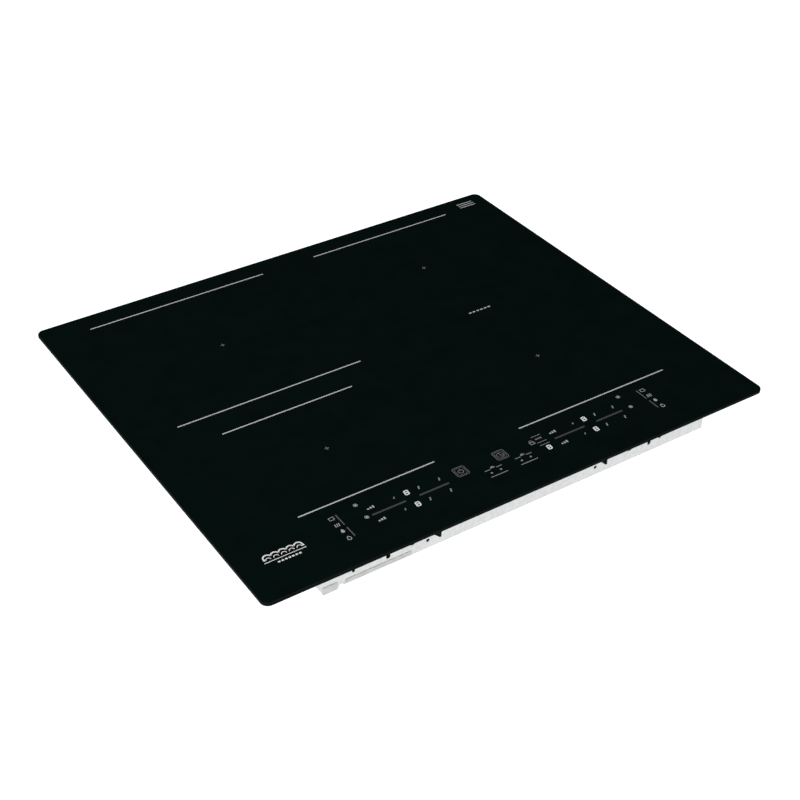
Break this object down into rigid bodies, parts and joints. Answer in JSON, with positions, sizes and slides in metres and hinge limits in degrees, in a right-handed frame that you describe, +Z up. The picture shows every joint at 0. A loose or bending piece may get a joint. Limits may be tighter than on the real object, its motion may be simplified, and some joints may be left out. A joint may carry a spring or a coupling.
{
  "type": "induction hob",
  "caption": "Built-in induction hob: black glass top with touch controls over a shallow galvanised casing with coils, boards and fans inside.",
  "frame": {"origin": "centre of the footprint, on the underside of the base pan", "axes": "+Z up through the glass, +X to the user's right, -Y towards the user and the control strip"},
  "size_m": [0.59, 0.51, 0.054],
  "materials": {
    "black_glass": "polished black glass-ceramic with fine grey screen print",
    "seal_foam": "closed-cell foam",
    "galvanised": "hot-dip galvanised sheet with fine spangle",
    "foot_plastic": "light grey moulded plastic",
    "plate_aluminium": "mill finish",
    "sink_aluminium": "extruded",
    "spring_steel": "bright spring steel",
    "screw_steel": "zinc plated",
    "clear_plastic": "milky insulating film",
    "board_green": "green solder resist",
    "black_plastic": "fine moulded grain",
    "fan_plastic": "moulded",
    "duct_plastic": "moulded",
    "capacitor_plastic": "moulded box",
    "relay_plastic": "moulded box",
    "motor_core": "laminated core",
    "copper": "enamelled copper wire",
    "ferrite": "sintered",
    "mica": "pressed mica sheet",
    "sensor_silicone": "silicone",
    "terminal_plastic": "moulded",
    "clamp_brass": "plated brass",
    "cover_plastic": "fine moulded grain",
    "bush_rubber": "moulded",
    "display_plastic": "moulded, dark window"
  },
  "bodies": {
    "casing": {"glass_top": "black_glass", "edge_seal": "seal_foam", "upper_frame": "galvanised", "base_pan": "galvanised", "front_foot": "foot_plastic", "centre_rail": "galvanised", "plate_springs": "spring_steel", "insulating_sheet": "clear_plastic", "filter_board": "board_green", "power_board_left": "board_green", "power_board_right": "board_green", "heat_sink_left": "sink_aluminium", "heat_sink_right": "sink_aluminium", "power_transistors": "black_plastic", "film_capacitors": "capacitor_plastic", "chokes": "copper", "relays": "relay_plastic", "fan_housing_left": "black_plastic", "fan_housing_right": "black_plastic", "fan_motors": "motor_core", "air_duct_left": "duct_plastic", "air_duct_right": "duct_plastic", "terminal_box": "terminal_plastic", "terminal_clamps": "clamp_brass", "cable_entry": "bush_rubber", "control_carrier": "black_plastic", "control_board": "board_green", "touch_springs": "spring_steel", "displays": "display_plastic", "clip_bases": "spring_steel", "screws": "screw_steel"},
    "coil_deck_left": {"coil_plate_left": "plate_aluminium", "coil_former_rear_left": "black_plastic", "coil_winding_rear_left": "copper", "ferrite_bars_rear_left": "ferrite", "mica_disc_rear_left": "mica", "temperature_sensor_rear_left": "sensor_silicone", "coil_former_front_left": "black_plastic", "coil_winding_front_left": "copper", "ferrite_bars_front_left": "ferrite", "mica_disc_front_left": "mica", "temperature_sensor_front_left": "sensor_silicone"},
    "coil_deck_right": {"coil_plate_right": "plate_aluminium", "coil_former_rear_right": "black_plastic", "coil_winding_rear_right": "copper", "ferrite_bars_rear_right": "ferrite", "mica_disc_rear_right": "mica", "temperature_sensor_rear_right": "sensor_silicone", "coil_former_front_right": "black_plastic", "coil_winding_front_right": "copper", "ferrite_bars_front_right": "ferrite", "mica_disc_front_right": "mica", "temperature_sensor_front_right": "sensor_silicone"},
    "fan_rotor_left": {"impeller_left": "fan_plastic"},
    "fan_rotor_right": {"impeller_right": "fan_plastic"},
    "terminal_flap": {"terminal_cover": "cover_plastic"},
    "clip_front_left": {"clip_leg_front_left": "spring_steel"},
    "clip_front_right": {"clip_leg_front_right": "spring_steel"},
    "clip_rear_left": {"clip_leg_rear_left": "spring_steel"},
    "clip_rear_right": {"clip_leg_rear_right": "spring_steel"}
  },
  "joints": [
    {"name": "coil_deck_left_float", "type": "slide", "parent": "casing", "child": "coil_deck_left", "axis": [0, 0, 1], "range_m": [-0.002, 0], "stiffness_N_per_m": 12000, "springref_m": 0.005, "deforming": ["plate_springs"]},
    {"name": "coil_deck_right_float", "type": "slide", "parent": "casing", "child": "coil_deck_right", "axis": [0, 0, 1], "range_m": [-0.002, 0], "stiffness_N_per_m": 12000, "springref_m": 0.005, "deforming": ["plate_springs"]},
    {"name": "fan_left_spin", "type": "hinge", "parent": "casing", "child": "fan_rotor_left", "pos_m": [-0.16, 0.164, 0.009], "axis": [0, 0, 1], "continuous": true},
    {"name": "fan_right_spin", "type": "hinge", "parent": "casing", "child": "fan_rotor_right", "pos_m": [0.16, 0.164, 0.009], "axis": [0, 0, 1], "continuous": true},
    {"name": "terminal_cover_hinge", "type": "hinge", "parent": "casing", "child": "terminal_flap", "pos_m": [0.06, 0.2312, 0.0324], "axis": [1, 0, 0], "range_deg": [0, 85]},
    {"name": "clip_front_left_flex", "type": "hinge", "parent": "casing", "child": "clip_front_left", "pos_m": [-0.2788, -0.15, 0.046], "axis": [0, -1, 0], "range_deg": [0, 8], "stiffness_Nm_per_rad": 1},
    {"name": "clip_rear_left_flex", "type": "hinge", "parent": "casing", "child": "clip_rear_left", "pos_m": [-0.2788, 0.15, 0.046], "axis": [0, -1, 0], "range_deg": [0, 8], "stiffness_Nm_per_rad": 1},
    {"name": "clip_front_right_flex", "type": "hinge", "parent": "casing", "child": "clip_front_right", "pos_m": [0.2788, -0.15, 0.046], "axis": [0, 1, 0], "range_deg": [0, 8], "stiffness_Nm_per_rad": 1},
    {"name": "clip_rear_right_flex", "type": "hinge", "parent": "casing", "child": "clip_rear_right", "pos_m": [0.2788, 0.15, 0.046], "axis": [0, 1, 0], "range_deg": [0, 8], "stiffness_Nm_per_rad": 1}
  ]
}
